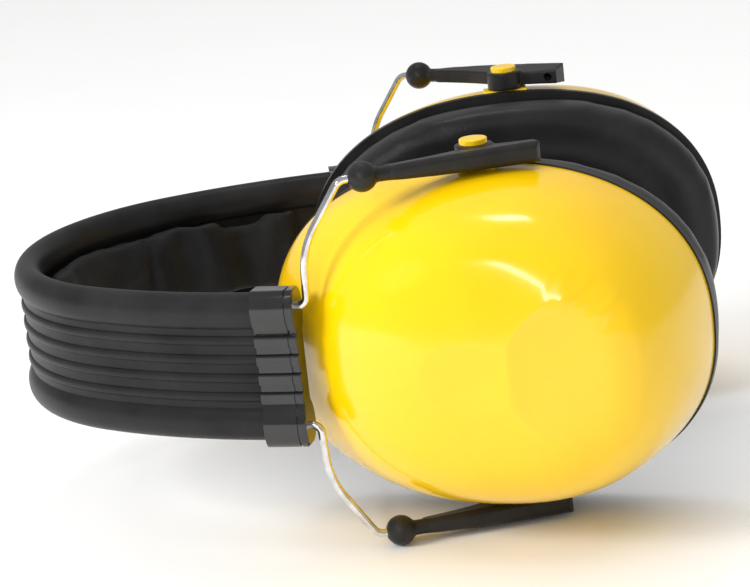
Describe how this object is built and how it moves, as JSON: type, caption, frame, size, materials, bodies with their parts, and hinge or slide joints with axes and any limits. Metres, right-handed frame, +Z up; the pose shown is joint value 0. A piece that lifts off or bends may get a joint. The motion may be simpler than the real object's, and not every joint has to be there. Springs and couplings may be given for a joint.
{
  "type": "earmuff hearing protector",
  "caption": "Over-the-head earmuff: sprung ribbed band with wire ends, slider arms and two oval ear cups that tilt on pivot studs.",
  "frame": {"origin": "middle of the bounding box at its base, where the earmuff lies on its rear arms and studs", "axes": "+X from the crown of the band down to the cups, +Y from the wearer's right ear to the left ear, +Z up, from the wearer's back to the front"},
  "size_m": [0.172, 0.1664, 0.0898],
  "materials": {
    "band_plastic": "satin extruded thermoplastic, near black",
    "cap_plastic": "glossy moulded black",
    "arm_plastic": "satin moulded black with a fine grain",
    "cup_plastic": "glossy moulded yellow",
    "spring_steel": "bright plated spring wire",
    "leatherette": "soft black leatherette",
    "foam": "open-cell foam"
  },
  "bodies": {
    "headband": {"headband": "band_plastic", "lining_cover": "leatherette", "lining_foam": "foam", "front_wire": "spring_steel", "rear_wire": "spring_steel", "left_end_cap": "cap_plastic", "right_end_cap": "cap_plastic"},
    "left_arms": {"left_front_arm": "arm_plastic", "left_rear_arm": "arm_plastic"},
    "left_cup": {"left_cup_shell": "cup_plastic", "left_front_stud": "cup_plastic", "left_rear_stud": "cup_plastic", "left_backplate": "arm_plastic", "left_ear_cushion": "leatherette", "left_cushion_foam": "foam", "left_acoustic_foam": "foam", "left_foam_screen": "foam"},
    "right_arms": {"right_front_arm": "arm_plastic", "right_rear_arm": "arm_plastic"},
    "right_cup": {"right_cup_shell": "cup_plastic", "right_front_stud": "cup_plastic", "right_rear_stud": "cup_plastic", "right_backplate": "arm_plastic", "right_ear_cushion": "leatherette", "right_cushion_foam": "foam", "right_acoustic_foam": "foam", "right_foam_screen": "foam"}
  },
  "joints": [
    {"name": "left_height_slide", "type": "slide", "parent": "headband", "child": "left_arms", "axis": [0.9432, -0.3322, 0], "range_m": [0, 0.025]},
    {"name": "left_cup_tilt", "type": "hinge", "parent": "left_arms", "child": "left_cup", "pos_m": [0.03392, 0.04433, 0.0449], "axis": [0, 0, 1], "range_deg": [-1.5, 12]},
    {"name": "right_height_slide", "type": "slide", "parent": "headband", "child": "right_arms", "axis": [0.9432, 0.3322, 0], "range_m": [0, 0.025]},
    {"name": "right_cup_tilt", "type": "hinge", "parent": "right_arms", "child": "right_cup", "pos_m": [0.03392, -0.04176, 0.0449], "axis": [0, 0, -1], "range_deg": [-5.8, 7.7]}
  ]
}
